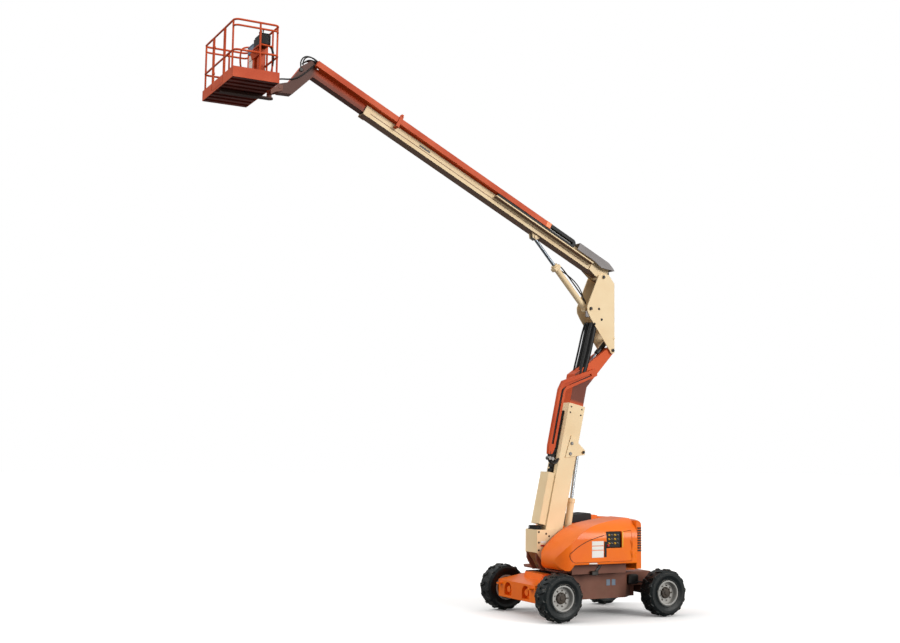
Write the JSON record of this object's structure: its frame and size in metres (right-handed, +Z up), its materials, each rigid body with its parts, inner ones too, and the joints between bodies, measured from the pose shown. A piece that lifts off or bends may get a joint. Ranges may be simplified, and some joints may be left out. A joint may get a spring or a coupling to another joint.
{
  "type": "articulating boom lift",
  "caption": "Self-propelled articulating boom lift: four-wheel chassis, swinging turntable with hoods, telescoping tower, upright, telescoping main boom with gooseneck, and a railed platform.",
  "frame": {"origin": "on the ground under the swing axis, midway between the wheels", "axes": "+X towards the steered axle, -X towards the driven axle and the platform, +Y the left side, +Z up"},
  "size_m": [9.6575, 2.48, 10.7731],
  "materials": {
    "cream_paint": "satin cream paint",
    "orange_paint": "satin orange paint",
    "hood_orange": "moulded orange panel",
    "grey_paint": "satin grey paint",
    "brown_paint": "satin grey-brown paint",
    "dark_paint": "satin black paint",
    "cast_weight": "orange painted casting",
    "tyre_rubber": "filled tyre rubber",
    "rim_grey": "satin grey wheel paint",
    "black_plastic": "black moulded plastic",
    "rod_chrome": "polished hydraulic rod"
  },
  "bodies": {
    "chassis": {"chassis_frame": "brown_paint", "drive_axle": "orange_paint", "steer_axle": "brown_paint", "swing_bearing": "grey_paint", "tie_down_lugs": "brown_paint"},
    "knuckle_right": {"knuckle_right": "brown_paint"},
    "knuckle_left": {"knuckle_left": "brown_paint"},
    "tie_rod": {"tie_rod": "grey_paint"},
    "turntable": {"turntable_frame": "brown_paint", "tower_mount": "cream_paint", "hood_right": "hood_orange", "hood_left": "hood_orange", "tail_weight": "cast_weight", "ground_control": "black_plastic", "engine": "dark_paint", "tank": "dark_paint", "hood_vent": "black_plastic"},
    "door_right": {"hood_door_right": "hood_orange"},
    "door_left": {"hood_door_left": "hood_orange"},
    "tower_base": {"tower_base": "cream_paint", "tower_hose_cover": "cream_paint", "tower_hose_chain": "black_plastic"},
    "tower_fly": {"tower_fly": "orange_paint", "hose_channel": "orange_paint"},
    "tower_barrel": {"tower_lift_barrel": "cream_paint"},
    "tower_rod": {"tower_lift_rod": "rod_chrome"},
    "upright": {"upright": "cream_paint"},
    "level_barrel": {"level_barrel": "dark_paint"},
    "level_rod": {"level_rod": "rod_chrome"},
    "boom_base": {"boom_base": "cream_paint", "boom_tray": "cream_paint", "boom_hose_chain": "black_plastic", "boom_rear_cover": "grey_paint"},
    "boom_fly": {"boom_fly": "orange_paint", "push_tube": "orange_paint"},
    "boom_rod": {"boom_lift_rod": "rod_chrome"},
    "boom_barrel": {"boom_lift_barrel": "cream_paint"},
    "platform_support": {"platform_support": "brown_paint"},
    "platform": {"platform_bracket": "brown_paint", "platform_floor": "orange_paint", "guard_rails": "orange_paint", "platform_console": "orange_paint"},
    "gate": {"platform_gate": "orange_paint"},
    "wheel_drive_right": {"tyre_drive_right": "tyre_rubber", "rim_drive_right": "rim_grey"},
    "wheel_drive_left": {"tyre_drive_left": "tyre_rubber", "rim_drive_left": "rim_grey"},
    "wheel_steer_right": {"tyre_steer_right": "tyre_rubber", "rim_steer_right": "rim_grey"},
    "wheel_steer_left": {"tyre_steer_left": "tyre_rubber", "rim_steer_left": "rim_grey"}
  },
  "joints": [
    {"name": "spin_drive_right", "type": "hinge", "parent": "chassis", "child": "wheel_drive_right", "pos_m": [-1.24, -1.055, 0.47], "axis": [0, 1, 0], "continuous": true},
    {"name": "spin_drive_left", "type": "hinge", "parent": "chassis", "child": "wheel_drive_left", "pos_m": [-1.24, 1.055, 0.47], "axis": [0, 1, 0], "continuous": true},
    {"name": "spin_steer_right", "type": "hinge", "parent": "knuckle_right", "child": "wheel_steer_right", "pos_m": [1.24, -1.055, 0.47], "axis": [0, 1, 0], "continuous": true},
    {"name": "spin_steer_left", "type": "hinge", "parent": "knuckle_left", "child": "wheel_steer_left", "pos_m": [1.24, 1.055, 0.47], "axis": [0, 1, 0], "continuous": true},
    {"name": "steer_left", "type": "hinge", "parent": "chassis", "child": "knuckle_left", "pos_m": [1.24, 0.8, 0.47], "axis": [0, 0, 1], "range_deg": [-35, 35]},
    {"name": "steer_right", "type": "hinge", "parent": "chassis", "child": "knuckle_right", "pos_m": [1.24, -0.8, 0.47], "axis": [0, 0, 1], "range_deg": [-36, 36]},
    {"name": "tie_rod_slide", "type": "slide", "parent": "chassis", "child": "tie_rod", "axis": [0, 1, 0], "range_m": [-0.1, 0.1]},
    {"name": "swing", "type": "hinge", "parent": "chassis", "child": "turntable", "pos_m": [0, 0, 0.9], "axis": [0, 0, 1], "continuous": true},
    {"name": "hood_door_right", "type": "hinge", "parent": "turntable", "child": "door_right", "pos_m": [0.452, -1.112, 1.4], "axis": [0, 0, 1], "range_deg": [0, 100]},
    {"name": "hood_door_left", "type": "hinge", "parent": "turntable", "child": "door_left", "pos_m": [0.452, 1.112, 1.4], "axis": [0, 0, -1], "range_deg": [0, 100]},
    {"name": "tower_lift", "type": "hinge", "parent": "turntable", "child": "tower_base", "pos_m": [-0.852, 0, 1.4], "axis": [0, -1, 0], "range_deg": [-77.7, 2.3]},
    {"name": "tower_tele", "type": "slide", "parent": "tower_base", "child": "tower_fly", "axis": [0.213, 0, 0.977], "range_m": [-0.28, 1.1]},
    {"name": "tower_barrel_pivot", "type": "hinge", "parent": "turntable", "child": "tower_barrel", "pos_m": [-0.45, 0, 1.03], "axis": [0, -1, 0], "range_deg": [-81, 4]},
    {"name": "tower_rod_slide", "type": "slide", "parent": "tower_barrel", "child": "tower_rod", "axis": [0.1512, 0, 0.9885], "range_m": [-0.72, 0.04]},
    {"name": "upright_pivot", "type": "hinge", "parent": "tower_fly", "child": "upright", "pos_m": [0.62967, 0, 5.36027], "axis": [0, -1, 0], "range_deg": [-3, 79]},
    {"name": "level_barrel_pivot", "type": "hinge", "parent": "upright", "child": "level_barrel", "pos_m": [0.66057, 0, 5.60835], "axis": [0, -1, 0], "range_deg": [-70, 3]},
    {"name": "level_rod_slide", "type": "slide", "parent": "level_barrel", "child": "level_rod", "axis": [-0.6832, 0, -0.7302], "range_m": [-0.32, 0.03]},
    {"name": "boom_lift", "type": "hinge", "parent": "upright", "child": "boom_base", "pos_m": [0.4, 0, 6.88], "axis": [0, -1, 0], "range_deg": [-48.3, 39.7]},
    {"name": "boom_tele", "type": "slide", "parent": "boom_base", "child": "boom_fly", "axis": [-0.8934, 0, 0.4493], "range_m": [-1.15, 3.2], "deforming": ["boom_hose_chain"]},
    {"name": "boom_rod_pivot", "type": "hinge", "parent": "boom_base", "child": "boom_rod", "pos_m": [-1.19261, 0, 7.60824], "axis": [0, -1, 0], "range_deg": [-9, 11]},
    {"name": "boom_barrel_slide", "type": "slide", "parent": "boom_rod", "child": "boom_barrel", "axis": [0.6705, 0, -0.7419], "range_m": [-0.46, 0.56]},
    {"name": "platform_level", "type": "hinge", "parent": "boom_fly", "child": "platform_support", "pos_m": [-6.78011, 0, 9.88565], "axis": [0, -1, 0], "range_deg": [-41, 50]},
    {"name": "platform_rotate", "type": "hinge", "parent": "platform_support", "child": "platform", "pos_m": [-6.94511, 0, 9.79], "axis": [0, 0, -1], "range_deg": [-90, 90]},
    {"name": "gate_swing", "type": "hinge", "parent": "platform", "child": "gate", "pos_m": [-7.921, 0.305, 10.2], "axis": [0, 0, 1], "range_deg": [0, 85]}
  ],
  "couplings": [
    {"joint": "steer_right", "follows": "steer_left", "ratio": 1},
    {"joint": "tie_rod_slide", "follows": "steer_left", "m_per_rad": -0.155},
    {"joint": "tower_barrel_pivot", "follows": "tower_lift", "ratio": 1.0279},
    {"joint": "tower_rod_slide", "follows": "tower_lift", "m_per_rad": 0.50276},
    {"joint": "upright_pivot", "follows": "tower_lift", "ratio": -1},
    {"joint": "level_barrel_pivot", "follows": "tower_lift", "ratio": 0.87735},
    {"joint": "level_rod_slide", "follows": "tower_lift", "m_per_rad": 0.21819},
    {"joint": "boom_rod_pivot", "follows": "boom_lift", "ratio": -0.2},
    {"joint": "boom_barrel_slide", "follows": "boom_lift", "m_per_rad": -0.63},
    {"joint": "platform_level", "follows": "boom_lift", "ratio": -1}
  ]
}
